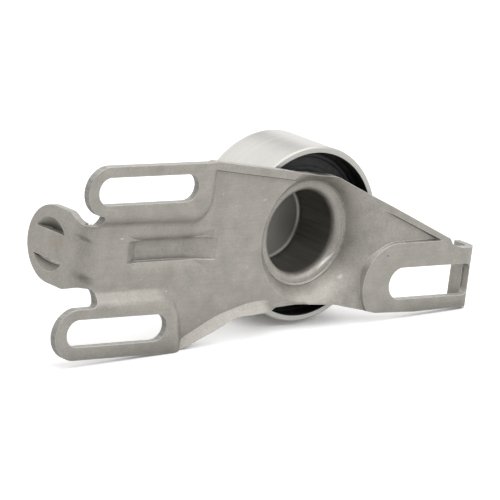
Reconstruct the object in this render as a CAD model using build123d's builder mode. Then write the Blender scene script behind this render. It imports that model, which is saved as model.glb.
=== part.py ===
from build123d import *
import os
from math import cos, radians, sin, tan

# Timing belt tensioner pulley: a ball-bearing roller on the drawn hub of a stamped bracket.
# X runs along the three slots, Y from the engine outwards along the roller axis, Z up.
# The origin is the centre of the roller. The sizes below that end in y are distances
# from the plane in which the three ears rest on the engine.
os.makedirs("parts", exist_ok=True)

# Sheet and its forming
sheet = 2.5
pan_depth = 3.5
wall_deg = 45.0
foot_radius = 3.5
top_radius = 5.0
outline_fillet = 6.0
rise_deg = 22.0
lip_deg = 62.0
lip_step = 1.0

# Ears and their bolt slots
slot_width = 9.1
slot_length = 40.4
slot_a_mid = (-75.0, 19.9)
slot_b_mid = (-81.2, -26.3)
ear_a_top = 28.0
ear_b_bottom = -35.2
ear_a_foot = 11.9
ear_b_top = -18.4
slot_c_width = 11.1
slot_c_left = 33.8
slot_c_z = -17.3
slot_c_end = 70.3
pad_c_radius = 14.2
pad_c_step = 1.0
pad_c_deg = 60.0
pad_c_edge = 0.8
flange_x = 72.5
flange_bend = 4.0
flange_reach = 9.3
flange_top = -6.0
ear_c_bottom = -27.2

# Half-sheared bar between the ears, and the metal drawn in along it
bar_left = -78.4
bar_right = -41.2
bar_ramp = 6.0
bar_far_ramp = 12.0
bar_depth = 3.5
bar_width = 7.4
bar_top = 1.9
draw_depth = 2.4
draw_left = -79.2
draw_right = -43.0
draw_start_deg = 4.0
draw_above_deg = 52.0
draw_above_radius = 4.4
draw_below_deg = 28.0
draw_below_radius = 15.0

# Hub drawn from the sheet
hub_bore_radius = 14.35
hub_wall = 2.3
hub_depth = 19.3
hub_lip_radius = 2.65
bead_radius = 0.45
dish_wall_deg = 60.0
dish_wall_rise = 2.0
dish_brow_radius = 11.0
dish_brow_deg = 14.0
dish_foot_fillet = 0.6

# Roller and bearing
roller_radius = 30.0
roller_width = 25.0
rim_gap = 0.8
rim_wall = 2.3
ball_diameter = 7.144
ball_count = 11
race_clearance = 0.02
pocket_clearance = 0.06
lip_clearance = 0.06
groove_ratio = 1.04
land_depth = 1.45
seal_thickness = 1.3
inner_width = 16.2
ring_chamfer = 0.6
cage_wall = 2.6

# End tab with the spring seat
tab_x = -96.0
tab_bend = 6.0
tab_centre_y = 20.4
tab_centre_z = -2.2
tab_radius = 12.8
seat_centre_y = 21.6
seat_radius = 8.9
seat_depth = 3.6
seat_bar = 9.2
seat_tuck = 1.2
seat_sag = 1.6
seat_centre_z = -2.4
neck_top = 7.5
neck_bottom = -12.8
notch_a_x = -93.0
notch_b_x = -92.3

# Derived sizes
draw_reach = ((draw_right - draw_left) ** 2 / 4 + draw_depth**2) / (2 * draw_depth)
hub_outer_radius = hub_bore_radius + hub_wall
dish_foot_radius = hub_bore_radius + 3.95
dish_wall_run = dish_wall_rise / tan(radians(dish_wall_deg))
rim_near_y = pan_depth + sheet + rim_gap
rim_far_y = rim_near_y + roller_width
mid_y = (rim_near_y + rim_far_y) / 2
shoulder_y = mid_y - inner_width / 2
hub_mouth_y = shoulder_y - sheet
hub_floor_y = hub_mouth_y + hub_depth
back_y = hub_floor_y + sheet
rim_bore = roller_radius - rim_wall
pitch_radius = (hub_outer_radius + rim_bore) / 2 + 0.225
race_outer = pitch_radius + ball_diameter / 2 + race_clearance
race_inner = pitch_radius - ball_diameter / 2 - race_clearance
land_outer = race_outer - land_depth
land_inner = race_inner + land_depth
groove_radius = ball_diameter / 2 * groove_ratio
seal_outer = (rim_bore + land_outer) / 2 + 0.4
seal_half_gap = ball_diameter / 2 + 1.828
cage_back = ball_diameter / 2 + 1.028
cage_width = cage_back + 2.0


def level(y):
    """Sketch plane at distance y from the seating plane, seen from the engine side."""
    return Plane.XZ.offset(mid_y - y)


def section(z=0):
    """Sketch plane at height z, its second direction measured from the seating plane."""
    return Plane(origin=(0, -mid_y, z), x_dir=(1, 0, 0), z_dir=(0, 0, 1))


def upright(x):
    """Sketch plane across the slots at x, its first direction from the seating plane."""
    return Plane(origin=(x, -mid_y, 0), x_dir=(0, 1, 0), z_dir=(1, 0, 0))


def inside_edges(part, y, left=-104, right=79, low=-44, high=39):
    """Level edges of the skin at y, without those on the outside of the forming block."""
    found = []
    for edge in part.edges():
        middle = edge @ 0.5
        flat = edge.bounding_box().size.Y < 1e-3 and abs(middle.Y + mid_y - y) < 1e-3
        if flat and left < middle.X < right and low < middle.Z < high:
            found.append(edge)
    return found


def moved_corner(radius, y, first_deg, second_deg, inset):
    """Corner between two slopes of a section, after both have moved inwards by inset."""
    first = (sin(radians(first_deg)), cos(radians(first_deg)))
    second = (sin(radians(second_deg)), cos(radians(second_deg)))
    share = inset / (1 + cos(radians(first_deg - second_deg)))
    return (radius + share * (first[0] + second[0]), y + share * (first[1] + second[1]))


def brow_point(slope_deg, inset):
    """Point of the dish's brow where its slope has this angle, moved inwards by inset."""
    wall = radians(dish_wall_deg)
    slope = radians(slope_deg)
    centre_x = dish_foot_radius + dish_wall_run + dish_brow_radius * sin(wall)
    centre_y = hub_mouth_y - dish_wall_rise + dish_brow_radius * cos(wall)
    radius = dish_brow_radius - inset
    return (centre_x - radius * sin(slope), centre_y - radius * cos(slope))


def nearest_corner(builder, point):
    """Corner of a section that lies nearest to a point."""
    target = Vector(point[0], point[1], 0)
    return min(builder.vertices(), key=lambda v: (Vector(v.X, v.Y, v.Z) - target).length)


def roll_line(radius, end_deg, edge_z, side, inset):
    """Section of the metal drawn in beside the bar: an arc, then straight past its edge."""
    start = radians(draw_start_deg)
    end = radians(end_deg)
    centre_y = pan_depth + radius * cos(1.5 * start)
    centre_z = edge_z + side * radius * sin(end)
    left = radius - inset
    points = []
    for slope in (start, (start + end) / 2, end):
        points.append((centre_y - left * cos(slope), centre_z - side * left * sin(slope)))
    run = side * (points[2][1] - edge_z) + 1.0
    points.append((points[2][0] + run * tan(end), edge_z - side))
    return points


def drawn_valley(inset):
    """Room above the metal drawn in along the bar, for the skin moved inwards by inset."""
    pan_y = pan_depth + inset
    above = roll_line(draw_above_radius, draw_above_deg, bar_top, 1, inset)
    below = roll_line(draw_below_radius, draw_below_deg, bar_top - bar_width, -1, inset)
    with BuildPart() as valley:
        with BuildSketch(upright(bar_left - 5)):
            with BuildLine():
                ThreePointArc(above[0], above[1], above[2])
                Polyline(above[2], above[3], below[3], below[2])
                ThreePointArc(below[2], below[1], below[0])
                Polyline(below[0], (pan_y - 0.6, below[0][1]), (pan_y - 0.6, above[0][1]), above[0])
            make_face()
        extrude(amount=bar_right - bar_left + 10)
        with BuildSketch(section(-20)):
            with Locations(((draw_left + draw_right) / 2, pan_depth + draw_depth - draw_reach)):
                Circle(draw_reach + inset)
        extrude(amount=40, mode=Mode.INTERSECT)
    return valley.part


def form_block(inset):
    """Solid behind the engine-side skin of the sheet, its skin moved inwards by inset."""
    grow = inset * tan(radians(wall_deg / 2))
    pan_y = pan_depth + inset
    valley = drawn_valley(inset)
    with BuildPart() as block:
        with BuildSketch(level(pan_y)):
            with Locations((-17.5, -2.5)):
                Rectangle(225, 115)
        extrude(amount=pan_y - back_y - 10)
        # Ear A
        with BuildSketch(level(pan_y)) as land_a:
            with BuildLine():
                Polyline(
                    (-115, 8.0),
                    (-45.2, 6.4),
                    (-45.2, 48.0),
                    (-115, 48.0),
                    close=True,
                )
            make_face()
            corner = land_a.vertices().group_by(Axis.Y)[0].sort_by(Axis.X)[-1]
            fillet(corner, 9.0)
            offset(amount=-grow, kind=Kind.INTERSECTION, mode=Mode.REPLACE)
        extrude(amount=pan_depth, taper=90 - wall_deg)
        # Ear B
        with BuildSketch(level(pan_y)) as land_b:
            with BuildLine():
                Polyline((-115, -14.2), (-55.5, -14.2), (-47, -54), (-115, -54), close=True)
            make_face()
            fillet(land_b.vertices().group_by(Axis.Y)[-1].sort_by(Axis.X)[-1], 12.0)
            offset(amount=-grow, kind=Kind.INTERSECTION, mode=Mode.REPLACE)
        extrude(amount=pan_depth, taper=90 - wall_deg)
        fillet(inside_edges(block, pan_y), foot_radius + inset)
        fillet(inside_edges(block, inset), top_radius - inset)
        # Lip along the lower edge, from ear B to the hub
        with BuildSketch(level(pan_y)) as lip:
            with BuildLine():
                Polyline(
                    (-62, -37.2),
                    (-38.0, -24.9),
                    (-24.5, -21.2),
                    (-12.5, -20.5),
                    (-4.0, -54.0),
                    (-62, -54.0),
                    close=True,
                )
            make_face()
            fillet([v for v in lip.vertices() if -40 < v.X < -20], 40.0)
            fillet([v for v in lip.vertices() if -13 < v.X < -12], 8.0)
            offset(amount=-grow, kind=Kind.INTERSECTION, mode=Mode.REPLACE)
        extrude(amount=pan_depth, taper=90 - wall_deg)
        # Land that carries ear C, rising gently beside the hub
        rise = inset * tan(radians(rise_deg / 2))
        with BuildSketch(level(pan_y)):
            with BuildLine():
                Polyline(
                    (0, -50),
                    (0, 30),
                    (18, 48),
                    (90, 48),
                    (90, -50),
                    close=True,
                )
            make_face()
            offset(amount=-rise, kind=Kind.INTERSECTION, mode=Mode.REPLACE)
        extrude(amount=pan_depth - pad_c_step, taper=90 - rise_deg)
        # Low steep lips along the upper edge, left and right of the hub
        step = inset * tan(radians(lip_deg / 2))
        with BuildSketch(level(pan_y)):
            with BuildLine():
                Polyline((-53, 25.3), (-6, 18.8), (-6, 46), (-53, 46), close=True)
            make_face()
            offset(amount=-step, kind=Kind.INTERSECTION, mode=Mode.REPLACE)
        extrude(amount=lip_step, taper=90 - lip_deg)
        with BuildSketch(level(pad_c_step + inset)):
            with BuildLine():
                Polyline((14, 14.1), (60, -5.4), (80, -5.4), (80, 44), (14, 44), close=True)
            make_face()
            offset(amount=-step, kind=Kind.INTERSECTION, mode=Mode.REPLACE)
        extrude(amount=pad_c_step, taper=90 - lip_deg)
        # Dish round the hub: flat foot, steep wall, then a wide brow into the plate
        foot = moved_corner(dish_foot_radius, hub_mouth_y, 0, dish_wall_deg, inset)
        brow_mid_deg = (dish_wall_deg + dish_brow_deg) / 2
        brow_start = brow_point(dish_wall_deg, inset)
        brow_end = brow_point(dish_brow_deg, inset)
        reach = 12.0
        fall = reach * tan(radians(dish_brow_deg))
        with BuildSketch(section()):
            with BuildLine() as dish_line:
                Polyline((0, brow_end[1] - fall), (0, foot[1]), foot, brow_start)
                ThreePointArc(brow_start, brow_point(brow_mid_deg, inset), brow_end)
                Polyline(
                    brow_end,
                    (brow_end[0] + reach, brow_end[1] - fall),
                    (0, brow_end[1] - fall),
                )
            make_face()
            fillet(nearest_corner(dish_line, foot), dish_foot_fillet + inset)
        revolve(axis=Axis.Y, mode=Mode.SUBTRACT)
        # Seat of ear C, its round end standing over the edge of the dish
        pad_rise = 3.0
        pad_radius = pad_c_radius + pad_rise / tan(radians(pad_c_deg))
        pad_radius -= inset * tan(radians(pad_c_deg / 2))
        with BuildSketch(level(pad_rise + inset)):
            with Locations((slot_c_left + slot_c_width / 2 - 3, slot_c_z)):
                Circle(pad_radius)
            with Locations((60, slot_c_z)):
                Rectangle(46, 2 * pad_radius)
        extrude(amount=pad_rise, taper=90 - pad_c_deg)
        # Metal drawn in along the bar, then the bar itself, ramped at both ends
        add(valley, mode=Mode.SUBTRACT)
        with BuildSketch(section(bar_top - bar_width)):
            with BuildLine():
                Polyline(
                    (bar_left - bar_ramp / bar_depth, pan_y - 1.0),
                    (bar_left + bar_ramp, pan_y + bar_depth),
                    (bar_right - bar_far_ramp, pan_y + bar_depth),
                    (bar_right + bar_far_ramp / bar_depth, pan_y - 1.0),
                    close=True,
                )
            make_face()
        extrude(amount=bar_width, mode=Mode.SUBTRACT)
    return block.part


# End tab, bent outwards behind the neck
neck_x = tab_x + tab_bend
tab_back = tab_x + sheet
bend_y = pan_depth + tab_bend
with BuildPart() as tab:
    with BuildSketch(section(-20)):
        with BuildLine():
            Line((neck_x, pan_depth + sheet), (neck_x, pan_depth))
            RadiusArc((neck_x, pan_depth), (tab_x, bend_y), tab_bend)
            Polyline((tab_x, bend_y), (tab_x, 40), (tab_back, 40), (tab_back, bend_y))
            RadiusArc((tab_back, bend_y), (neck_x, pan_depth + sheet), sheet - tab_bend)
        make_face()
    extrude(amount=40)
    with BuildSketch(upright(tab_x - 2)) as disc:
        with BuildLine():
            Polyline(
                (0, neck_top),
                (6, neck_top),
                (12.5, tab_centre_z + tab_radius),
                (tab_centre_y, tab_centre_z + tab_radius),
                (tab_centre_y, tab_centre_z - tab_radius),
                (12.5, tab_centre_z - tab_radius),
                (6, neck_bottom),
                (0, neck_bottom),
                close=True,
            )
        make_face()
        with Locations((tab_centre_y, tab_centre_z)):
            Circle(tab_radius)
        fillet([v for v in disc.vertices() if 5 < v.Y < 13], 4.0)
    extrude(amount=12, mode=Mode.INTERSECT)
    with BuildSketch(upright(tab_x - 1)):
        with Locations((seat_centre_y, seat_centre_z)):
            Circle(seat_radius)
            Rectangle(30, seat_bar, mode=Mode.SUBTRACT)
    extrude(amount=sheet + 2, mode=Mode.SUBTRACT)

# Spring seat: two dished tongues beside the bar left standing across the tab
seat_low = seat_centre_z - seat_bar / 2
seat_ball = (seat_radius**2 + seat_depth**2) / (2 * seat_depth)
with BuildPart() as seat:
    with Locations(upright(tab_x + seat_depth - seat_ball) * Pos(seat_centre_y, seat_centre_z)):
        Sphere(seat_ball + 2.0)
        Sphere(seat_ball, mode=Mode.SUBTRACT)
    with BuildSketch(upright(tab_x)):
        with Locations((seat_centre_y, seat_centre_z)):
            Circle(seat_radius)
            Rectangle(30, seat_bar - seat_tuck, mode=Mode.SUBTRACT)
        with BuildLine():
            Polyline(
                (seat_centre_y + 8.2, seat_low),
                (seat_centre_y + 5.0, seat_low + seat_tuck),
                (seat_centre_y - 5.0, seat_low + seat_tuck),
                (seat_centre_y - 8.2, seat_low),
            )
            ThreePointArc(
                (seat_centre_y - 8.2, seat_low),
                (seat_centre_y, seat_low - seat_sag),
                (seat_centre_y + 8.2, seat_low),
            )
        make_face(mode=Mode.SUBTRACT)
    extrude(amount=12, mode=Mode.INTERSECT)

# The two forming surfaces of the sheet
outer_skin = form_block(0)
inner_skin = form_block(sheet)

# Bracket: the sheet between its two forming surfaces, punched to its outline
with BuildPart() as bracket:
    add(outer_skin)
    add(inner_skin, mode=Mode.SUBTRACT)
    # Punched outline, from the neck over ear A, the hub and ear C back to ear B
    with BuildSketch(level(-5)) as blank:
        with BuildLine():
            Polyline((-90, neck_top), (notch_a_x, neck_top), (notch_a_x, ear_a_foot))
            Line((notch_a_x, ear_a_foot), (-93.5, ear_a_foot))
            ThreePointArc((-93.5, ear_a_foot), (-99.3, 20.2), (-91, ear_a_top))
            Polyline(
                (-91, ear_a_top),
                (-48.5, 27.9),
                (-16.7, 23.6),
                (1.5, 20.5),
                (8.5, 20.0),
                (18.4, 15.4),
                (59.3, -2.5),
                (60.8, -4.6),
                (65.0, -5.9),
                (66.0, flange_top),
                (66.0, ear_c_bottom),
                (46.8, -27.6),
                (29.0, -27.0),
                (12.3, -23.6),
                (-4.1, -23.0),
                (-15.2, -23.7),
                (-31.5, -25.3),
                (-53.5, ear_b_bottom),
                (-97.0, ear_b_bottom),
            )
            ThreePointArc((-97.0, ear_b_bottom), (-105.9, -26.6), (-98.0, ear_b_top))
            Polyline((-98.0, ear_b_top), (notch_b_x, ear_b_top), (notch_b_x, neck_bottom))
            Polyline((notch_b_x, neck_bottom), (-90, neck_bottom), (-90, neck_top))
        make_face()
        fillet([v for v in blank.vertices() if -40 < v.X < -10 and v.Y < 0], 22.0)
        fillet([v for v in blank.vertices() if -20 < v.X < 30 and (v.Y > 0 or v.X > -10)], outline_fillet)
        fillet([v for v in blank.vertices() if -60 < v.X < -45 and v.Y < 0], 15.0)
    extrude(amount=-45, mode=Mode.INTERSECT)
    # Hub cup drawn from the sheet, with its rolled mouth and closed floor
    with BuildSketch(level(hub_mouth_y - 1)):
        Circle(hub_bore_radius + hub_lip_radius)
    extrude(amount=-6, mode=Mode.SUBTRACT)
    lip_y = hub_mouth_y + hub_lip_radius
    lip_x = hub_bore_radius + hub_lip_radius
    back_bend = lip_x - hub_outer_radius
    floor_back = hub_floor_y + hub_wall
    cup_round = 1.5
    with BuildSketch(section()):
        with BuildLine():
            Line((lip_x, shoulder_y), (lip_x, hub_mouth_y))
            RadiusArc((lip_x, hub_mouth_y), (hub_bore_radius, lip_y), hub_lip_radius)
            Line((hub_bore_radius, lip_y), (hub_bore_radius, hub_floor_y - cup_round))
            RadiusArc(
                (hub_bore_radius, hub_floor_y - cup_round),
                (hub_bore_radius - cup_round, hub_floor_y),
                -cup_round,
            )
            Polyline(
                (hub_bore_radius - cup_round, hub_floor_y),
                (0, hub_floor_y),
                (0, floor_back),
                (hub_bore_radius - cup_round, floor_back),
            )
            RadiusArc(
                (hub_bore_radius - cup_round, floor_back),
                (hub_outer_radius, floor_back - cup_round - hub_wall),
                cup_round + hub_wall,
            )
            Line(
                (hub_outer_radius, floor_back - cup_round - hub_wall),
                (hub_outer_radius, shoulder_y + back_bend),
            )
            RadiusArc(
                (hub_outer_radius, shoulder_y + back_bend),
                (lip_x, shoulder_y),
                -back_bend,
            )
        make_face()
    revolve(axis=Axis.Y)
    with BuildSketch(section()):
        with Locations((lip_x + 2 * bead_radius, hub_mouth_y)):
            Circle(bead_radius)
    revolve(axis=Axis.Y)
    # Flange turned outwards at the end of ear C
    inner_bend = flange_bend - sheet
    with BuildSketch(section(ear_c_bottom)):
        with BuildLine():
            Line((66, sheet), (66, 0))
            Line((66, 0), (flange_x - flange_bend, 0))
            RadiusArc(
                (flange_x - flange_bend, 0), (flange_x, flange_bend), -flange_bend
            )
            Polyline(
                (flange_x, flange_bend),
                (flange_x, flange_reach),
                (flange_x - sheet, flange_reach),
                (flange_x - sheet, flange_bend),
            )
            RadiusArc(
                (flange_x - sheet, flange_bend),
                (flange_x - flange_bend, sheet),
                inner_bend,
            )
            Line((flange_x - flange_bend, sheet), (66, sheet))
        make_face()
    extrude(amount=flange_top - ear_c_bottom)
    # End tab behind the neck
    add(tab.part)
    add(seat.part)
    # Relief notches beside the neck and the bolt slots
    with BuildSketch(level(-1)):
        with Locations((notch_a_x, (neck_top + ear_a_foot) / 2)):
            Circle((ear_a_foot - neck_top) / 2)
        with Locations((notch_b_x, (neck_bottom + ear_b_top) / 2)):
            Circle((neck_bottom - ear_b_top) / 2)
    extrude(amount=-8, mode=Mode.SUBTRACT)
    with BuildSketch(level(-1)):
        with Locations(slot_a_mid, slot_b_mid):
            SlotOverall(slot_length, slot_width)
    extrude(amount=-5, mode=Mode.SUBTRACT)
    with BuildSketch(level(-1)) as slot_c:
        with Locations((slot_c_left + slot_c_width / 2, slot_c_z)):
            Circle(slot_c_width / 2)
        slot_flat = slot_c_end - slot_c_left - slot_c_width / 2
        with Locations((slot_c_end - slot_flat / 2, slot_c_z)):
            Rectangle(slot_flat, slot_c_width)
        fillet(slot_c.vertices().group_by(Axis.X)[-1], 2.5)
    extrude(amount=-4.4, mode=Mode.SUBTRACT)
bracket.part.label = "bracket"
export_step(bracket.part, "parts/bracket.step")

# Roller and outer ring in one: belt face outside, raceway and seal grooves inside
with BuildPart() as roller:
    with BuildSketch(section()):
        with BuildLine():
            Polyline(
                (land_outer, mid_y - seal_half_gap),
                (seal_outer, mid_y - seal_half_gap),
                (seal_outer, mid_y - seal_half_gap - seal_thickness - 0.5),
                (rim_bore, mid_y - seal_half_gap - seal_thickness - 1.3),
                (rim_bore, rim_near_y + 0.3),
                (rim_bore + 0.3, rim_near_y),
                (roller_radius - 0.5, rim_near_y),
                (roller_radius, rim_near_y + 0.5),
                (roller_radius, mid_y),
            )
            Line((roller_radius, mid_y), (land_outer, mid_y))
            Line((land_outer, mid_y), (land_outer, mid_y - seal_half_gap))
        make_face()
        mirror(about=Plane.XZ.offset(-mid_y))
        with Locations((pitch_radius - groove_radius + race_outer - pitch_radius, mid_y)):
            Circle(groove_radius, mode=Mode.SUBTRACT)
    revolve(axis=Axis.Y)
roller.part.label = "roller"
export_step(roller.part, "parts/roller.step")

# Inner ring, pressed on the hub up to the drawn shoulder
with BuildPart() as inner_ring:
    with BuildSketch(section()) as ring_section:
        with Locations(((hub_outer_radius + land_inner) / 2, mid_y)):
            Rectangle(land_inner - hub_outer_radius, inner_width)
        chamfer(ring_section.vertices(), ring_chamfer)
        with Locations((race_inner + groove_radius, mid_y)):
            Circle(groove_radius, mode=Mode.SUBTRACT)
    revolve(axis=Axis.Y)
inner_ring.part.label = "inner_ring"
export_step(inner_ring.part, "parts/inner_ring.step")

# Balls
for number in range(ball_count):
    angle = radians(90 + 360 * number / ball_count)
    with BuildPart() as ball_part:
        with Locations((pitch_radius * cos(angle), 0, pitch_radius * sin(angle))):
            Sphere(ball_diameter / 2)
    name = f"ball_{number + 1:02d}"
    ball_part.part.label = name
    export_step(ball_part.part, f"parts/{name}.step")

# Moulded cage with snap pockets, open towards the far side
with BuildPart() as cage:
    with BuildSketch(section()) as cage_section:
        with Locations((pitch_radius, mid_y - cage_back + cage_width / 2)):
            Rectangle(cage_wall, cage_width)
        chamfer(cage_section.vertices(), 0.3)
    revolve(axis=Axis.Y)
    pockets = PolarLocations(pitch_radius, ball_count, start_angle=90)
    with Locations([level(mid_y) * spot for spot in pockets]):
        Sphere(ball_diameter / 2 + pocket_clearance, mode=Mode.SUBTRACT)
cage.part.label = "cage"
export_step(cage.part, "parts/cage.step")

# Lip seals snapped into the roller, their lips running on the inner ring
for name, side in (("seal_near", -1), ("seal_far", 1)):
    face_in = mid_y + side * seal_half_gap
    face_out = face_in + side * seal_thickness
    web_out = face_out - side * 0.35
    with BuildPart() as seal:
        with BuildSketch(section()):
            with BuildLine():
                Polyline(
                    (land_inner + lip_clearance, face_in + side * 0.5),
                    (land_inner + lip_clearance, face_in + side * 0.8),
                    (land_inner + 0.7, face_out),
                    (land_inner + 1.7, face_out),
                    (land_inner + 2.1, web_out),
                    (seal_outer - 1.6, web_out),
                    (seal_outer - 1.2, face_out),
                    (seal_outer - 0.2, face_out),
                    (seal_outer, face_out - side * 0.2),
                    (seal_outer, face_in),
                    (land_outer - 0.6, face_in),
                    (land_outer - 1.0, face_in + side * 0.35),
                    (land_inner + 1.2, face_in + side * 0.35),
                    close=True,
                )
            make_face()
        revolve(axis=Axis.Y)
    seal.part.label = name
    export_step(seal.part, f"parts/{name}.step")
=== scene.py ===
"""Timing belt tensioner pulley: finishes, floor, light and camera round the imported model."""

import math

import bpy
from mathutils import Matrix, Vector


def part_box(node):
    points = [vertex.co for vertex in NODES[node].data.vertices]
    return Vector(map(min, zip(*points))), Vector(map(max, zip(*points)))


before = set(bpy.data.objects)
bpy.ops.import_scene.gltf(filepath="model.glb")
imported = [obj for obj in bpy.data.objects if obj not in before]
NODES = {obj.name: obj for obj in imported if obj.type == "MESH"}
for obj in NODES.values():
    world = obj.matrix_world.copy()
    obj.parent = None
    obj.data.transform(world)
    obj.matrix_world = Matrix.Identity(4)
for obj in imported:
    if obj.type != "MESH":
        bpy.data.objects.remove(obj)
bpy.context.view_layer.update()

bl_info = {
    "name": "Timing Belt Tensioner Pulley",
    "version": (1, 0, 0),
    "blender": (4, 5, 0),
    "location": "View3D > Sidebar > Tensioner",
    "description": "Finishes, floor, light and camera of a timing belt tensioner pulley",
    "category": "Object",
}

MM = 0.001

# Places that tell the bracket's faces apart: the plane that lies on the engine, the hub, its
# cup, and the tab and flange that are turned away from the engine
SEAT_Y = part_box("bracket")[0].y
HUB_RADIUS = 21.0 * MM
CUP_RADIUS = 14.6 * MM
CUP_MOUTH_Y = -8.0 * MM
TAB_X = -93.0 * MM
TAB_RISE = 6.0 * MM
FLANGE_INSIDE_X = 70.1 * MM
FLANGE_START_X = 69.9 * MM
FLANGE_RISE = 3.3 * MM
FLANGE_BEND = 2.0 * MM
# A face of the flange's bend is skin where its normal's part along Z is less than LEVEL. Other
# faces are sheared where its part across the sheet is less than SHEARED
LEVEL = 0.1
SHEARED = 0.12

# The rim's inner radius, and the least part of a rim face's normal along the axis
RIM_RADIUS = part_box("roller")[1].x - 2.1 * MM
RIM_FACING = 0.4

# Angles in degrees from which an edge stays sharp, the second for the balls
SHARP = 32.0
BALL_SHARP = 60.0

# Marks that the photograph shows on the plating: centre, half length and half width in mm,
# turn in degrees, strength and tone. SPOT_DEPTH is how far a mark reaches through the sheet
MARKS = (
    ((-93.4, -14.8, -9.6), (4.2, 1.8), -25.0, 0.60, "#5C6150"),  # greasy smear, foot of the neck
    ((-94.4, -13.8, 3.3), (3.0, 0.9), -31.0, 0.65, "#6F6D66"),  # greasy smear, top of the neck
    ((-81.0, -15.8, 3.2), (1.1, 0.3), 5.0, 0.85, "#F4F3F0"),  # bright dash beside the bar
    ((31.5, -19.3, -7.2), (0.55, 0.4), 0.0, 0.85, "#4A4844"),  # dark fleck, third ear's pad
    ((-96.0, -1.5, -1.0), (3.0, 3.5), 0.0, 0.22, "#A8886C"),  # breath of rust on the tab
    ((15.2, -14.8, -14.7), (1.5, 0.6), 35.0, 0.45, "#F4F3F0"),  # scuff beside the hub
    # Rubbed streak on the hub's lip, painted pure white as a highlight
    ((12.0, -10.1, -10.0), (5.2, 0.55), 41.0, 0.85, "#FFFFFF"),  # rubbed streak, hub's lip
    ((-23.2, -15.8, 13.6), (1.2, 0.4), 12.0, 0.50, "#E8E6E2"),  # small scratch, high on the pan
    ((-27.1, -15.8, -9.0), (0.8, 0.4), 60.0, 0.45, "#E8E6E2"),  # small scratch, low on the pan
)
SPOT_DEPTH = 6.0

# Camera fitted to the photograph, in millimetres in the part's own frame, and the nearest and
# farthest that it sees, in metres
CAMERA_PLACE = (-875.58, -991.88, 295.42)
CAMERA_RIGHT = (0.767392, -0.628558, 0.126587)
CAMERA_UP = (0.048294, 0.253530, 0.966121)
CAMERA_LENS = 291.8
SENSOR = 36.0
CAMERA_REACH = (0.1, 50.0)

# Where the room's pale wall and the large lamp are, seen from the part, the lamp in metres, and
# how high the gap between the wall and the ceiling light is, as a part of straight up
WALL_DIRECTION = (0.62, 0.58, 0.45)
KEY_PLACE = (0.10, -0.55, 1.30)
GAP_HEIGHT = 0.47

# Rise of the plane on which the part stands, along X and along Y, and how far it reaches each
# way in metres. The lower left ear, the roller's far edge and the turned flange touch it
FLOOR_SLOPES = (0.0583, 0.0611)
FLOOR_REACH = 6.0

# Settings of the node that mixes two colours
BLEND = {"data_type": "RGBA"}
SHADE = {"data_type": "RGBA", "blend_type": "MULTIPLY"}


def linear(colour):
    """An sRGB hex colour as linear red, green, blue and a full alpha."""
    values = [int(colour[i : i + 2], 16) / 255 for i in (1, 3, 5)]
    low = [v / 12.92 for v in values]
    high = [((v + 0.055) / 1.055) ** 2.4 for v in values]
    return tuple(h if v > 0.04045 else l for v, l, h in zip(values, low, high)) + (1.0,)


WHITE = linear("#FFFFFF")


def add_node(tree, kind, inputs=None, **settings):
    """Adds a node with its settings and links. A key of inputs is the name of a socket in use,
    or its place in their row. A value is a constant, a socket to link from, or a node, which is
    linked from its first output in use."""
    node = tree.nodes.new("ShaderNode" + kind)
    for name, value in settings.items():
        setattr(node, name, value)
    row = [socket for socket in node.inputs if socket.enabled]
    named = {socket.name: socket for socket in row}
    for key, value in (inputs or {}).items():
        socket = row[key] if isinstance(key, int) else named[key]
        if isinstance(value, bpy.types.Node):
            value = next(output for output in value.outputs if output.enabled)
        if isinstance(value, bpy.types.NodeSocket):
            tree.links.new(value, socket)
        else:
            socket.default_value = value
    return node


def make_material(finish, settings):
    """The material that finish describes, with finish's own name. finish gets the node tree, the
    object coordinates in metres and the settings, and gives back the surface's shader."""
    material = bpy.data.materials.new(finish.__name__.replace("_", " ").title())
    material.use_nodes = True
    tree = material.node_tree
    tree.nodes.clear()
    place = add_node(tree, "TexCoord").outputs["Object"]
    add_node(tree, "OutputMaterial", {"Surface": finish(tree, place, settings)})
    return material


def patches(tree, place, size, detail=3.0, rough=0.5, span=(0.3, 0.7), values=(0.0, 1.0)):
    """Cloudy pattern whose patches are about size metres across. The noise is drawn out so that
    its span runs over the values."""
    cloud = {"Vector": place, "Scale": 1 / size, "Detail": detail, "Roughness": rough}
    ends = {"From Min": span[0], "From Max": span[1], "To Min": values[0], "To Max": values[1]}
    return add_node(tree, "MapRange", {"Value": add_node(tree, "TexNoise", cloud), **ends})


def soft_edges(tree, radius, amount=1.0):
    """Normal that rounds the edges to a radius, and a mask that grows to amount where it turns
    the surface by more than 6 to 26 degrees, which From Min and From Max give as cosines."""
    rounded = add_node(tree, "Bevel", {"Radius": radius}, samples=6)
    true = add_node(tree, "NewGeometry").outputs["Normal"]
    facing = add_node(tree, "VectorMath", {0: rounded, 1: true}, operation="DOT_PRODUCT")
    turned = {"Value": facing, "From Min": 0.995, "From Max": 0.90, "To Max": amount}
    return rounded, add_node(tree, "MapRange", turned)


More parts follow.
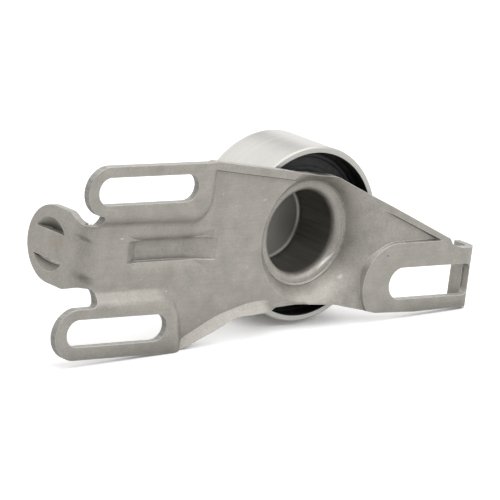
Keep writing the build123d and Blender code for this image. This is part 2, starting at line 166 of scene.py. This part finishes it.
def spot(tree, place, centre, half_sizes, turn, amount):
    """Mask of one ragged, soft-edged spot on the sheet. Its length lies along X, turned in the
    plane of the sheet, with its right end up where turn is positive."""
    away = add_node(tree, "VectorMath", {0: place, 1: Vector(centre) * MM}, operation="SUBTRACT")
    about = {"Vector": away, "Axis": (0, 1, 0), "Angle": math.radians(turn)}
    turned = add_node(tree, "VectorRotate", about, rotation_type="AXIS_ANGLE")
    sizes = Vector((half_sizes[0], SPOT_DEPTH, half_sizes[1])) * MM
    shape = add_node(tree, "VectorMath", {0: turned, 1: sizes}, operation="DIVIDE")
    far = add_node(tree, "VectorMath", {0: shape}, operation="LENGTH")
    fade = {"Value": far, "From Min": 0.35, "To Min": amount, "To Max": 0.0}
    ragged = patches(tree, place, min(half_sizes) * MM, span=(0.3, 0.6), values=(0.5, 1.0))
    inside = add_node(tree, "MapRange", fade)
    return add_node(tree, "Math", {0: inside, 1: ragged}, operation="MULTIPLY")


def axis_distance(tree, place):
    """Distance from the hub's axis, round which a tool or wheel leaves its rings."""
    flat = add_node(tree, "VectorMath", {0: place, 1: (1, 0, 1)}, operation="MULTIPLY")
    return add_node(tree, "VectorMath", {0: flat}, operation="LENGTH")


def plated_steel_sheet_as_pressed(tree, place, settings):
    """Electroplated steel sheet as the press left it. It is a flat warm grey with a soft sheen,
    mottled where the tool and other parts rubbed it, with bright nicks, paler edges that are
    partly rubbed and partly a painted highlight, and painted shade in the creases."""
    rounded, edge = soft_edges(tree, settings.edge_round)
    cloud = patches(tree, place, settings.mottle_size, 5.0, 0.6, span=(0.32, 0.68))
    grain = patches(tree, place, settings.grain_size, 2.0)
    tones = {"Factor": cloud, "A": settings.dark_tone, "B": settings.light_tone}
    colour = add_node(tree, "Mix", tones, **BLEND)
    speckle = add_node(tree, "MapRange", {"Value": grain, "To Min": 0.86, "To Max": 1.08})
    # Faint lines along the strip, left by the rolls, drawn coarser than real so that they show
    along = add_node(tree, "VectorMath", {0: place, 1: (0.07, 1.0, 1.0)}, operation="MULTIPLY")
    rolled = patches(tree, along, 0.8 * MM, 3.0, 0.6, values=(0.95, 1.03))
    for shade in (speckle, rolled):
        colour = add_node(tree, "Mix", {"Factor": 1.0, "A": colour, "B": shade}, **SHADE)
    # Nicks: a few small bright spots where handling has cut the plating
    cells = {"Vector": place, "Scale": 1 / settings.nick_spacing}
    cells = add_node(tree, "TexVoronoi", cells).outputs
    rare = {"Value": cells["Color"], "From Min": 0.62, "From Max": 0.70}
    near = {"Value": cells["Distance"], "From Min": 0.02, "From Max": 0.075}
    rare = add_node(tree, "MapRange", rare)
    near = add_node(tree, "MapRange", {**near, "To Min": 0.75, "To Max": 0.0})
    nick = add_node(tree, "Math", {0: rare, 1: near}, operation="MULTIPLY")
    stains = [(nick, settings.nick_tone)]
    stains += [(spot(tree, place, *shape), linear(tone)) for *shape, tone in MARKS]
    for mask, tone in stains:
        colour = add_node(tree, "Mix", {"Factor": mask, "A": colour, "B": tone}, **BLEND)
    # Painted shade, darkening the colour in the creases and recesses
    crease = add_node(tree, "AmbientOcclusion", {"Distance": 10 * MM}, samples=8).outputs["AO"]
    film = {"Value": crease, "From Min": 0.4, "From Max": 0.92, "To Min": settings.painted_crease_shade}
    film = add_node(tree, "MapRange", film)
    colour = add_node(tree, "Mix", {"Factor": 1.0, "A": colour, "B": film}, **SHADE)
    # The edges are painted paler, partly as rubbing and partly as a painted highlight where the
    # rounded edges catch the light, and more so where the sheet beside them is rubbed
    rub = add_node(tree, "MapRange", {"Value": cloud, "To Min": 0.6})
    rub = add_node(tree, "Math", {0: edge, 1: rub}, operation="MULTIPLY")
    colour = add_node(tree, "Mix", {"Factor": rub, "A": colour, "B": settings.edge_tone}, **BLEND)
    dull, bright = settings.roughness + 0.07, settings.roughness - 0.05
    rough = add_node(tree, "MapRange", {"Value": cloud, "To Min": bright, "To Max": dull})
    waves = add_node(tree, "TexNoise", {"Vector": place, "Scale": 1 / (3.5 * MM), "Detail": 2.0})
    uneven = {"Height": waves, "Distance": 0.04 * MM, "Strength": 0.8, "Normal": rounded}
    uneven = add_node(tree, "Bump", uneven)
    coarse = {"Height": grain, "Distance": 0.008 * MM, "Strength": 0.6, "Normal": uneven}
    surface = {"Base Color": colour, "Roughness": rough, "Normal": add_node(tree, "Bump", coarse)}
    return add_node(tree, "BsdfPrincipled", {**surface, "Metallic": settings.metallic})


def sheared_steel_edge(tree, place, settings):
    """Edge of the sheet as the punch sheared it: torn metal with lines through the thickness,
    brighter where the punch burnished it, and a paler rounded corner, partly rubbed and partly a
    painted highlight. The lines are drawn coarser than real so that they show."""
    rounded, edge = soft_edges(tree, settings.edge_round, 0.7)
    around = add_node(tree, "VectorMath", {0: place, 1: (1, 0, 1)}, operation="MULTIPLY")
    lines = {"Vector": around, "Scale": 1 / (0.7 * MM), "Detail": 3.0, "Roughness": 0.6}
    lines = add_node(tree, "TexNoise", lines)
    bright = add_node(tree, "MapRange", {"Value": lines, "From Min": 0.25, "From Max": 0.75})
    torn = patches(tree, place, 1.2 * MM, 2.0, values=(0.0, 0.3))
    colour = settings.shear_dark
    layers = (
        (bright, settings.shear_light),
        (torn, settings.shear_torn),
        (edge, settings.edge_tone),
    )
    for mask, tone in layers:
        colour = add_node(tree, "Mix", {"Factor": mask, "A": colour, "B": tone}, **BLEND)
    relief = {"Height": lines, "Distance": 0.01 * MM, "Strength": 0.5, "Normal": rounded}
    surface = {"Base Color": colour, "Normal": add_node(tree, "Bump", relief)}
    return add_node(tree, "BsdfPrincipled", {**surface, "Roughness": 0.45, "Metallic": 0.3})


def hub_cup_with_painted_shade(tree, place, settings):
    """Inside of the drawn hub, with painted shade. The deep cup's walls are painted dark, with
    streaks along the draw, and its flat floor, which faces out of the cup, is painted paler as
    lit. Towards the mouth the colour comes back to the sheet's tone."""
    along = add_node(tree, "VectorMath", {0: place, 1: (1.0, 0.06, 1.0)}, operation="MULTIPLY")
    film = patches(tree, along, 1.4 * MM)
    normal = add_node(tree, "NewGeometry").outputs["Normal"]
    facing = add_node(tree, "SeparateXYZ", {0: normal}).outputs["Y"]
    facing = add_node(tree, "Math", {0: facing}, operation="ABSOLUTE")
    # Painted light: the floor, which faces out of the cup, is painted paler than the walls in
    # shade
    bare = add_node(tree, "MapRange", {"Value": facing, "From Min": 0.6, "From Max": 0.95})
    depth = add_node(tree, "SeparateXYZ", {0: place}).outputs["Y"]
    ends = {"From Min": CUP_MOUTH_Y - 2 * MM, "From Max": CUP_MOUTH_Y + 1 * MM}
    mouth = add_node(tree, "MapRange", {"Value": depth, **ends, "To Min": 1.0, "To Max": 0.0})
    colour = settings.cup_shade_dark
    layers = (
        (film, settings.cup_shade_light),
        (bare, settings.floor_tone),
        (mouth, settings.light_tone),
    )
    for mask, tone in layers:
        colour = add_node(tree, "Mix", {"Factor": mask, "A": colour, "B": tone}, **BLEND)
    relief = add_node(tree, "Bump", {"Height": film, "Distance": 0.01 * MM, "Strength": 0.5})
    surface = {"Base Color": colour, "Normal": relief, "Roughness": 0.38, "Metallic": 0.5}
    return add_node(tree, "BsdfPrincipled", surface)


def ground_bearing_steel(tree, place, settings):
    """Ground bearing steel. Rings left by the wheel run round the axis, drawn coarser than real
    so that they show, and draw the reflection out along the roller."""
    height = add_node(tree, "SeparateXYZ", {0: place}).outputs["Y"]
    rings = add_node(tree, "CombineXYZ", {"X": height, "Y": axis_distance(tree, place)})
    lines = {"Vector": rings, "Scale": 1 / settings.line_size, "Detail": 4.0, "Roughness": 0.7}
    lines = add_node(tree, "TexNoise", lines)
    clear = {"Value": lines, "From Min": 0.3, "From Max": 0.7}
    cloud = patches(tree, place, 9.0 * MM, values=(0.0, 0.10))
    colour = settings.dark_tone
    layers = (
        (add_node(tree, "MapRange", clear), settings.light_tone),
        (cloud, settings.cloud_tone),
    )
    for mask, tone in layers:
        colour = add_node(tree, "Mix", {"Factor": mask, "A": colour, "B": tone}, **BLEND)
    dull, bright = settings.roughness + 0.06, settings.roughness - 0.04
    rough = add_node(tree, "MapRange", {**clear, "To Min": bright, "To Max": dull})
    rounded = add_node(tree, "Bevel", {"Radius": 0.25 * MM}, samples=6)
    relief = {"Height": lines, "Distance": 0.004 * MM, "Strength": 0.5, "Normal": rounded}
    surface = {"Base Color": colour, "Roughness": rough, "Normal": add_node(tree, "Bump", relief)}
    return add_node(tree, "BsdfPrincipled", {**surface, "Metallic": 1.0})


def turned_bearing_steel(tree, place, settings):
    """Turned end face of the roller's rim, duller than the ground face: a soft pale grey with
    faint rings, drawn coarser than real so that they show."""
    rings = add_node(tree, "CombineXYZ", {"X": axis_distance(tree, place)})
    lines = patches(tree, rings, 0.3 * MM)
    tones = {"Factor": lines, "A": settings.rim_dark, "B": settings.rim_light}
    colour = add_node(tree, "Mix", tones, **BLEND)
    rounded = add_node(tree, "Bevel", {"Radius": 0.2 * MM}, samples=6)
    relief = {"Height": lines, "Distance": 0.004 * MM, "Strength": 0.5, "Normal": rounded}
    surface = {"Base Color": colour, "Normal": add_node(tree, "Bump", relief)}
    return add_node(tree, "BsdfPrincipled", {**surface, "Roughness": 0.42, "Metallic": 0.8})


def rim_inside_with_painted_shade(tree, place, settings):
    """Inside of the roller's rim, painted near black as shade, with faint cloudy patches."""
    cloud = patches(tree, place, 5.0 * MM)
    tones = {"Factor": cloud, "A": settings.rim_shade_dark, "B": settings.rim_shade_light}
    colour = add_node(tree, "Mix", tones, **BLEND)
    relief = add_node(tree, "Bump", {"Height": cloud, "Distance": 0.01 * MM, "Strength": 0.4})
    surface = {"Base Color": colour, "Normal": relief, "Roughness": 0.42, "Metallic": 0.3}
    return add_node(tree, "BsdfPrincipled", surface)


def moulded_nitrile_rubber(tree, place, settings):
    """Moulded nitrile rubber: near black with a grey bloom and a soft broad highlight. Its
    grain is drawn coarser than real so that it shows."""
    cloud = patches(tree, place, 2.5 * MM, 4.0, 0.6)
    tones = {"Factor": cloud, "A": settings.rubber_dark, "B": settings.rubber_light}
    colour = add_node(tree, "Mix", tones, **BLEND)
    grain = add_node(tree, "TexNoise", {"Vector": place, "Scale": 1 / (0.35 * MM), "Detail": 2.0})
    relief = add_node(tree, "Bump", {"Height": grain, "Distance": 0.01 * MM, "Strength": 0.5})
    surface = {"Base Color": colour, "Normal": relief, "Roughness": 0.55, "Metallic": 0.0}
    return add_node(tree, "BsdfPrincipled", surface)


def lapped_bearing_steel(tree, place, settings):
    """Lapped bearing steel of the balls, mirror bright under a breath of oil."""
    film = patches(tree, place, 2.0 * MM, 2.0)
    tones = {"Factor": film, "A": settings.ball_dark, "B": settings.ball_light}
    colour = add_node(tree, "Mix", tones, **BLEND)
    rough = add_node(tree, "MapRange", {"Value": film, "To Min": 0.06, "To Max": 0.12})
    surface = {"Base Color": colour, "Roughness": rough, "Metallic": 1.0}
    return add_node(tree, "BsdfPrincipled", surface)


def moulded_glass_filled_nylon(tree, place, settings):
    """Moulded glass-filled nylon of the cage: dark and matt, with a faint speckle of fibres
    that is drawn coarser than real so that it shows."""
    fibre = patches(tree, place, 0.4 * MM, 2.0, span=(0.35, 0.65))
    tones = {"Factor": fibre, "A": settings.nylon_dark, "B": settings.nylon_light}
    colour = add_node(tree, "Mix", tones, **BLEND)
    relief = add_node(tree, "Bump", {"Height": fibre, "Distance": 0.01 * MM, "Strength": 0.5})
    surface = {"Base Color": colour, "Normal": relief, "Roughness": 0.5, "Metallic": 0.0}
    return add_node(tree, "BsdfPrincipled", surface)


def matt_white_card(tree, place, settings):
    """Matt white card, which the camera sees plain white where no shadow falls on it."""
    paths = add_node(tree, "LightPath").outputs
    camera = paths["Is Camera Ray"]
    seen = camera
    for ray in ("Is Glossy Ray", "Is Transmission Ray"):
        seen = add_node(tree, "Math", {0: seen, 1: paths[ray]}, operation="MAXIMUM")
    # Bounced light meets a darker card than is seen, so that little comes up from below
    tones = {"Factor": seen, "A": settings.card_bounced, "B": settings.card_mirrored}
    colour = add_node(tree, "Mix", tones, **BLEND)
    tones = {"Factor": camera, "A": colour, "B": settings.card_seen}
    card = add_node(tree, "BsdfDiffuse", {"Color": add_node(tree, "Mix", tones, **BLEND)})
    # In the last few millimetres under the part hardly any light reaches the card
    gap = add_node(tree, "AmbientOcclusion", {"Distance": 12 * MM}, samples=16).outputs["AO"]
    ends = {"To Min": 0.2 * settings.card_lift, "To Max": settings.card_lift}
    lift = add_node(tree, "MapRange", {"Value": gap, "From Min": 0.20, "From Max": 0.65, **ends})
    lift = add_node(tree, "Math", {0: seen, 1: lift}, operation="MULTIPLY")
    lift = add_node(tree, "Emission", {"Color": WHITE, "Strength": lift})
    return add_node(tree, "AddShader", {0: card, 1: lift})


def smooth(node, degrees=SHARP):
    """Smooth shading that keeps the edges sharper than degrees."""
    piece = NODES[node]
    bpy.ops.object.select_all(action="DESELECT")
    piece.select_set(True)
    bpy.context.view_layer.objects.active = piece
    bpy.ops.object.shade_smooth_by_angle(angle=math.radians(degrees))
    weighted = piece.modifiers.new("Even Shading", "WEIGHTED_NORMAL")
    weighted.keep_sharp = True


def give(node, *materials, choose=None):
    """Gives a node its materials. choose picks each face's material from centre and normal."""
    mesh = NODES[node].data
    mesh.materials.clear()
    for material in materials:
        mesh.materials.append(material)
    for face in mesh.polygons:
        face.material_index = choose(face.center, face.normal) if choose else 0


def is_sheared(centre, normal):
    """Whether a face of the bracket is the sheet's sheared edge. The sheet faces along X on the
    turned tab and flange, and along Y elsewhere."""
    if math.hypot(centre.x, centre.z) < HUB_RADIUS:
        return False
    if abs(centre.x - FLANGE_INSIDE_X) < FLANGE_BEND and abs(normal.z) < LEVEL:
        return False
    tab = centre.x < TAB_X and centre.y > SEAT_Y + TAB_RISE
    flange = centre.x > FLANGE_START_X and centre.y > SEAT_Y + FLANGE_RISE
    across = normal.x if tab or flange else normal.y
    return abs(across) < SHEARED


def bracket_face(centre, normal):
    """Material of a bracket face: 0 skin, 1 sheared edge, 2 inside of the hub cup."""
    if math.hypot(centre.x, centre.z) < CUP_RADIUS and centre.y > CUP_MOUTH_Y:
        return 2
    return 1 if is_sheared(centre, normal) else 0


def roller_face(centre, normal):
    """Material of a roller face: 0 ground steel, 1 inside of the rim, painted dark as shade,
    2 rim face.
    """
    if math.hypot(centre.x, centre.z) < RIM_RADIUS:
        return 1
    return 2 if abs(normal.y) > RIM_FACING else 0


def hex_colour(name, description, colour):
    """A colour that a user can change. colour is its default as an sRGB hex value."""
    return bpy.props.FloatVectorProperty(
        name=name,
        description=description,
        default=linear(colour),
        size=4,
        min=0,
        max=1,
        subtype="COLOR",
    )


def fraction(name, description, default):
    """A value from 0 to 1 that a user can change."""
    return bpy.props.FloatProperty(
        name=name, description=description, default=default, min=0, max=1, subtype="FACTOR"
    )


def length(name, description, millimetres):
    """A size that a user can change. Its default is given in millimetres."""
    return bpy.props.FloatProperty(
        name=name,
        description=description,
        default=millimetres * MM,
        min=0.05 * MM,
        precision=5,
        unit="LENGTH",
    )


class BracketFinish(bpy.types.PropertyGroup):
    """Finish of the pressed bracket."""

    light_tone: hex_colour("Light Tone", "Colour of the rubbed plating", "#C3BFB7")
    dark_tone: hex_colour("Dark Tone", "Colour of the dull plating", "#AEAAA2")
    # The edge tone is partly rubbing and partly a painted highlight on the rounded edges
    edge_tone: hex_colour("Edge Tone", "Colour of the rubbed edges", "#E6E4DF")
    nick_tone: hex_colour("Nick Tone", "Colour of the bright nicks", "#F0EEEA")
    shear_dark: hex_colour("Shear Dark", "Ground of the sheared edge", "#9D9A94")
    shear_light: hex_colour("Shear Light", "Burnished lines of the sheared edge", "#D2CFC9")
    shear_torn: hex_colour("Shear Torn", "Torn patches of the sheared edge", "#7E7B76")
    # Painted shade: these tones stand for the shade in the deep hub cup and the light on its floor
    cup_shade_dark: hex_colour("Cup Shade Dark", "Dark tone inside the hub", "#65635E")
    cup_shade_light: hex_colour("Cup Shade Light", "Light tone inside the hub", "#7C7A74")
    floor_tone: hex_colour("Hub Floor Tone", "Colour of the hub's flat floor", "#BEBCB6")
    roughness: fraction("Roughness", "Middle roughness of the plating", 0.5)
    metallic: fraction("Metallic", "How far bare metal shows through the matt plating", 0.65)
    # Painted shade in the creases: the brightness that the colour keeps where it is darkest
    painted_crease_shade: fraction("Painted Crease Shade", "Brightness left under the film in the creases", 0.42)
    mottle_size: length("Mottle Size", "Size of the cloudy patches", 6.0)
    grain_size: length("Grain Size", "Size of the plating's grain, coarser than real", 0.45)
    nick_spacing: length("Nick Spacing", "Distance between nicks", 5.0)
    edge_round: length("Edge Round", "Rounding of the sheared edges", 0.42)


class RollerFinish(bpy.types.PropertyGroup):
    """Finish of the ground roller and its rim, and of the inner ring."""

    light_tone: hex_colour("Light Tone", "Colour of the ground steel", "#F0EEE9")
    dark_tone: hex_colour("Dark Tone", "Colour of the grinding lines", "#E2E0DB")
    cloud_tone: hex_colour("Cloud Tone", "Faint clouds on the ground steel", "#B9B7B2")
    rim_dark: hex_colour("Rim Dark", "Dark tone of the turned rim face", "#BDBBB6")
    rim_light: hex_colour("Rim Light", "Light tone of the turned rim face", "#D2D0CB")
    # Painted shade: the near black tones inside the rim
    rim_shade_dark: hex_colour("Rim Shade Dark", "Dark tone inside the rim", "#222321")
    rim_shade_light: hex_colour("Rim Shade Light", "Light tone inside the rim", "#363733")
    roughness: fraction("Roughness", "Middle roughness of the ground face", 0.22)
    line_size: length("Line Size", "Spacing of the grinding lines, coarser than real", 0.35)


class BearingFinish(bpy.types.PropertyGroup):
    """Finish of the seals, the balls and the cage."""

    rubber_dark: hex_colour("Rubber Dark", "Dark tone of the seals", "#383C3A")
    rubber_light: hex_colour("Rubber Light", "Bloom on the seals", "#4D514F")
    ball_dark: hex_colour("Ball Dark", "Dark tone of the balls", "#D2D3D4")
    ball_light: hex_colour("Ball Light", "Light tone of the balls", "#DCDDDE")
    nylon_dark: hex_colour("Nylon Dark", "Dark tone of the cage", "#1E1D1B")
    nylon_light: hex_colour("Nylon Light", "Fibre speckle of the cage", "#2A2926")


class StudioSettings(bpy.types.PropertyGroup):
    """Floor, light and camera."""

    card_seen: hex_colour("Card Seen", "Colour of the floor to the camera", "#F6F6F6")
    card_mirrored: hex_colour("Card Mirrored", "Colour of the floor in reflections", "#D0D0D0")
    card_bounced: hex_colour("Card Bounced", "Colour of the floor to bounced light", "#6A6A6A")
    card_lift: fraction("Card Lift", "Light added to the floor as it is seen", 0.30)
    sky_bright: bpy.props.FloatProperty(
        name="Bright Room",
        description="Strength of the pale wall behind the part",
        default=0.96,
        min=0,
    )
    sky_dim: bpy.props.FloatProperty(
        name="Dim Room",
        description="Strength of the unlit room in front at the left",
        default=0.08,
        min=0,
    )
    gap_light: fraction("Gap Light", "Light left in the gap between wall and ceiling light", 0.68)
    key_power: bpy.props.FloatProperty(
        name="Key Power",
        description="Power of the large lamp above",
        default=18.2,
        min=0,
        unit="POWER",
    )
    key_size: length("Key Size", "Side of the large lamp above", 2300.0)
    lens: bpy.props.FloatProperty(
        name="Lens", description="Focal length", default=CAMERA_LENS, min=10, unit="CAMERA"
    )


class TENSIONER_OT_bracket(bpy.types.Operator):
    """Finish the pressed bracket, its sheared edges and the inside of its hub"""

    bl_idname = "tensioner.bracket"
    bl_label = "Finish Bracket"

    def execute(self, context):
        finishes = (plated_steel_sheet_as_pressed, sheared_steel_edge, hub_cup_with_painted_shade)
        settings = context.scene.tensioner_bracket
        smooth("bracket")
        skins = [make_material(finish, settings) for finish in finishes]
        give("bracket", *skins, choose=bracket_face)
        return {"FINISHED"}


class TENSIONER_OT_roller(bpy.types.Operator):
    """Finish the ground roller, its turned rim face and the inside of its rim, which is painted
    dark as shade
    """

    bl_idname = "tensioner.roller"
    bl_label = "Finish Roller"

    def execute(self, context):
        finishes = (ground_bearing_steel, rim_inside_with_painted_shade, turned_bearing_steel)
        settings = context.scene.tensioner_roller
        smooth("roller")
        steels = [make_material(finish, settings) for finish in finishes]
        give("roller", *steels, choose=roller_face)
        return {"FINISHED"}


class TENSIONER_OT_bearing(bpy.types.Operator):
    """Finish the inner ring, the balls and the cage"""

    bl_idname = "tensioner.bearing"
    bl_label = "Finish Bearing"

    def execute(self, context):
        settings = context.scene.tensioner_bearing
        balls = make_material(lapped_bearing_steel, settings)
        for node in NODES:
            if node.startswith("ball_"):
                smooth(node, BALL_SHARP)
                give(node, balls)
        smooth("inner_ring")
        give("inner_ring", make_material(ground_bearing_steel, context.scene.tensioner_roller))
        smooth("cage")
        give("cage", make_material(moulded_glass_filled_nylon, settings))
        return {"FINISHED"}


class TENSIONER_OT_seals(bpy.types.Operator):
    """Finish the two lip seals"""

    bl_idname = "tensioner.seals"
    bl_label = "Finish Seals"

    def execute(self, context):
        rubber = make_material(moulded_nitrile_rubber, context.scene.tensioner_bearing)
        for node in ("seal_near", "seal_far"):
            smooth(node)
            give(node, rubber)
        return {"FINISHED"}


def put_in_scene(name, data):
    """A new object in the scene."""
    thing = bpy.data.objects.new(name, data)
    bpy.context.scene.collection.objects.link(thing)
    return thing


def make_floor(settings):
    """A wide card in the plane on which the part stands."""
    along, back = FLOOR_SLOPES
    feet = [v.co for node in ("bracket", "roller") for v in NODES[node].data.vertices]
    drop = min(co.z - along * co.x - back * co.y for co in feet)
    corners = [(x * FLOOR_REACH, y * FLOOR_REACH) for x, y in ((-1, -1), (1, -1), (1, 1), (-1, 1))]
    points = [(x, y, drop + along * x + back * y) for x, y in corners]
    mesh = bpy.data.meshes.new("floor")
    mesh.from_pydata(points, [], [(0, 1, 2, 3)])
    mesh.materials.append(make_material(matt_white_card, settings))
    put_in_scene("floor", mesh)


def make_sky(settings):
    """Room light: strongest from the pale wall behind and above, weakest in front at the left."""
    world = bpy.data.worlds.new("Studio Room")
    bpy.context.scene.world = world
    world.use_nodes = True
    tree = world.node_tree
    tree.nodes.clear()
    direction = add_node(tree, "TexCoord").outputs["Generated"]
    wall = Vector(WALL_DIRECTION).normalized()
    towards = add_node(tree, "VectorMath", {0: direction, 1: wall}, operation="DOT_PRODUCT")
    room = {"Value": towards, "From Min": -0.9, "From Max": 0.25}
    ends = {"To Min": settings.sky_dim, "To Max": settings.sky_bright}
    room = add_node(tree, "MapRange", {**room, **ends})
    # The gap between the wall and the ceiling light, seen as a soft grey band in the roller
    height = add_node(tree, "SeparateXYZ", {0: direction}).outputs["Z"]
    beside = add_node(tree, "Math", {0: height, 1: GAP_HEIGHT}, operation="SUBTRACT")
    beside = add_node(tree, "Math", {0: beside}, operation="ABSOLUTE")
    gap = {"Value": beside, "From Min": 0.05, "From Max": 0.16, "To Min": settings.gap_light}
    gap = add_node(tree, "MapRange", gap)
    strength = add_node(tree, "Math", {0: room, 1: gap}, operation="MULTIPLY")
    light = add_node(tree, "Background", {"Color": WHITE, "Strength": strength})
    add_node(tree, "OutputWorld", {"Surface": light})


def make_lamp(settings):
    """The large square lamp, which shines on the part from above."""
    data = bpy.data.lights.new("key_lamp", "AREA")
    data.shape = "SQUARE"
    data.size = settings.key_size
    data.energy = settings.key_power
    lamp = put_in_scene("key_lamp", data)
    lamp.location = KEY_PLACE
    lamp.rotation_mode = "QUATERNION"
    lamp.rotation_quaternion = (-Vector(KEY_PLACE)).to_track_quat("-Z", "Y")


def make_camera(settings):
    """The camera that took the photograph."""
    data = bpy.data.cameras.new("camera")
    data.sensor_width = SENSOR
    data.lens = settings.lens
    data.clip_start, data.clip_end = CAMERA_REACH
    camera = put_in_scene("camera", data)
    right = Vector(CAMERA_RIGHT).normalized()
    back = right.cross(Vector(CAMERA_UP)).normalized()
    up = back.cross(right)
    turn = Matrix((right, up, back)).transposed().to_4x4()
    camera.matrix_world = Matrix.Translation(Vector(CAMERA_PLACE) * MM) @ turn
    bpy.context.scene.camera = camera


class TENSIONER_OT_stage(bpy.types.Operator):
    """Set the floor, the room light, the lamp and the camera"""

    bl_idname = "tensioner.stage"
    bl_label = "Set Stage"

    def execute(self, context):
        for make in (make_floor, make_sky, make_lamp, make_camera):
            make(context.scene.tensioner_studio)
        context.scene.view_settings.view_transform = "Standard"
        return {"FINISHED"}


class TENSIONER_PT_panel(bpy.types.Panel):
    """Sizes, colours and steps of the tensioner pulley"""

    bl_label = "Tensioner Pulley"
    bl_idname = "TENSIONER_PT_panel"
    bl_space_type = "VIEW_3D"
    bl_region_type = "UI"
    bl_category = "Tensioner"

    def draw(self, context):
        for operator in OPERATORS:
            self.layout.operator(operator.bl_idname)
        for name, kind in GROUPS.items():
            for key in kind.__annotations__:
                self.layout.prop(getattr(context.scene, name), key)


OPERATORS = (
    TENSIONER_OT_bracket,
    TENSIONER_OT_roller,
    TENSIONER_OT_bearing,
    TENSIONER_OT_seals,
    TENSIONER_OT_stage,
)
GROUPS = {
    "tensioner_bracket": BracketFinish,
    "tensioner_roller": RollerFinish,
    "tensioner_bearing": BearingFinish,
    "tensioner_studio": StudioSettings,
}


def register():
    """Registers the classes and hangs the settings on the scene."""
    for kind in (*GROUPS.values(), *OPERATORS, TENSIONER_PT_panel):
        bpy.utils.register_class(kind)
    for name, kind in GROUPS.items():
        setattr(bpy.types.Scene, name, bpy.props.PointerProperty(type=kind))


def unregister():
    """Takes the settings and the classes away again."""
    for name in GROUPS:
        delattr(bpy.types.Scene, name)
    for kind in (TENSIONER_PT_panel, *reversed(OPERATORS), *GROUPS.values()):
        bpy.utils.unregister_class(kind)


def main():
    """Builds the whole scene."""
    register()
    for operator in OPERATORS:
        group, name = operator.bl_idname.split(".")
        getattr(getattr(bpy.ops, group), name)()


if __name__ == "__main__":
    main()
